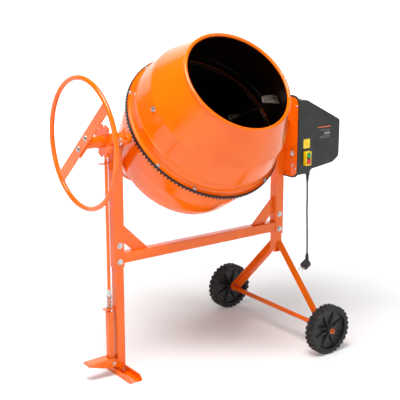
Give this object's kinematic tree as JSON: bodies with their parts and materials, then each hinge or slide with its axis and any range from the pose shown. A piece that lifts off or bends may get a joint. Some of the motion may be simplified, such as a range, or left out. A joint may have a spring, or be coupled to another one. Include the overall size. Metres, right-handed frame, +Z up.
{
  "type": "concrete mixer",
  "caption": "Electric tilting concrete mixer: open drum in a curved yoke on a two-legged stand with wheels, handwheel tilt, pedal lock and belt drive under a cover.",
  "frame": {"origin": "floor level under the middle of the machine's outline, cord left out", "axes": "+Z up, -Y the side the drum mouth faces, +X towards the motor housing, -X towards the handwheel"},
  "size_m": [1.17, 0.7315, 1.2741],
  "materials": {
    "orange_paint": "gloss powder coat",
    "zinc_steel": "zinc plated",
    "cast_iron": "black oiled",
    "blade_coating": "satin dark coat",
    "black_plastic": "moulded satin",
    "black_rubber": "matt",
    "cord_sheath": "satin",
    "yellow_plastic": "moulded",
    "green_plastic": "moulded",
    "red_plastic": "moulded",
    "grey_paint": "matt"
  },
  "bodies": {
    "stand": {"left_upper_leg": "orange_paint", "right_upper_leg": "orange_paint", "left_lower_leg": "orange_paint", "right_stub_leg": "orange_paint", "left_leg_bolt_high": "zinc_steel", "left_leg_bolt_low": "zinc_steel", "right_leg_bolt_high": "zinc_steel", "right_leg_bolt_low": "zinc_steel", "cross_beam": "orange_paint", "left_gusset": "orange_paint", "right_gusset": "orange_paint", "foot_channel": "orange_paint", "left_bearing_saddle": "orange_paint", "left_bearing_cap": "orange_paint", "right_bearing_saddle": "orange_paint", "right_bearing_cap": "orange_paint", "upper_rod_guide": "orange_paint", "lower_rod_guide": "orange_paint", "lock_spring": "zinc_steel", "front_wheel_leg": "orange_paint", "rear_wheel_leg": "orange_paint", "axle_tube": "orange_paint", "pedal_pivot_bolt": "zinc_steel", "motor_back_plate": "orange_paint", "motor_cover": "black_plastic", "motor_bracket": "grey_paint", "motor_body": "grey_paint", "drive_belt": "black_rubber", "switch_box": "yellow_plastic", "cable_gland": "black_plastic", "power_cord": "cord_sheath", "plug": "cord_sheath"},
    "tilt_yoke": {"left_tilt_tube": "orange_paint", "right_tilt_tube": "orange_paint", "yoke_arm": "orange_paint", "spindle_housing": "orange_paint", "lock_disc": "orange_paint", "handwheel_rim": "orange_paint", "handwheel_spoke": "orange_paint", "handwheel_plate": "orange_paint"},
    "drum": {"lower_bowl": "orange_paint", "upper_cone": "orange_paint", "ring_gear": "cast_iron", "drum_spindle": "zinc_steel", "mixing_blade_right": "blade_coating", "mixing_blade_left": "blade_coating"},
    "drive_shaft": {"pinion_shaft": "zinc_steel", "large_pulley": "cast_iron"},
    "motor_rotor": {"motor_pulley": "zinc_steel"},
    "front_wheel": {"front_wheel_disc": "black_plastic", "front_tyre": "black_rubber"},
    "rear_wheel": {"rear_wheel_disc": "black_plastic", "rear_tyre": "black_rubber"},
    "foot_pedal": {"pedal": "orange_paint"},
    "lock_slider": {"lock_rod": "orange_paint", "rod_nut": "zinc_steel", "pull_bar": "orange_paint", "link_bolt": "zinc_steel"},
    "start_key": {"start_button": "green_plastic"},
    "stop_key": {"stop_button": "red_plastic"}
  },
  "joints": [
    {"name": "drum_tilt", "type": "hinge", "parent": "stand", "child": "tilt_yoke", "pos_m": [0, 0.0097, 0.906], "axis": [1, 0, 0], "range_deg": [-48, 105]},
    {"name": "drum_spin", "type": "hinge", "parent": "tilt_yoke", "child": "drum", "pos_m": [-0.0555, 0.0097, 0.906], "axis": [0, -0.7431, 0.6691], "continuous": true},
    {"name": "pinion_spin", "type": "hinge", "parent": "tilt_yoke", "child": "drive_shaft", "pos_m": [0.3, 0.0097, 0.906], "axis": [1, 0, 0], "continuous": true},
    {"name": "motor_spin", "type": "hinge", "parent": "stand", "child": "motor_rotor", "pos_m": [0.38, 0.0017, 0.78], "axis": [1, 0, 0], "continuous": true},
    {"name": "front_wheel_spin", "type": "hinge", "parent": "stand", "child": "front_wheel", "pos_m": [0.333, -0.3133, 0.1], "axis": [0, 1, 0], "continuous": true},
    {"name": "rear_wheel_spin", "type": "hinge", "parent": "stand", "child": "rear_wheel", "pos_m": [0.333, 0.3327, 0.1], "axis": [0, 1, 0], "continuous": true},
    {"name": "pedal_press", "type": "hinge", "parent": "stand", "child": "foot_pedal", "pos_m": [-0.435, 0.0097, 0.018], "axis": [0, -1, 0], "range_deg": [0, 12], "stiffness_Nm_per_rad": 12, "springref_deg": -14.32},
    {"name": "lock_rod_slide", "type": "slide", "parent": "stand", "child": "lock_slider", "axis": [0, 0, -1], "range_m": [0, 0.009], "deforming": ["lock_spring"]},
    {"name": "start_press", "type": "slide", "parent": "stand", "child": "start_key", "axis": [0, 1, 0], "range_m": [0, 0.003], "stiffness_N_per_m": 300, "springref_m": -0.004},
    {"name": "stop_press", "type": "slide", "parent": "stand", "child": "stop_key", "axis": [0, 1, 0], "range_m": [0, 0.003], "stiffness_N_per_m": 300, "springref_m": -0.004}
  ],
  "couplings": [
    {"joint": "pinion_spin", "follows": "drum_spin", "ratio": -21.333},
    {"joint": "motor_spin", "follows": "drum_spin", "ratio": -74.667},
    {"joint": "lock_rod_slide", "follows": "pedal_press", "m_per_rad": 0.042}
  ]
}
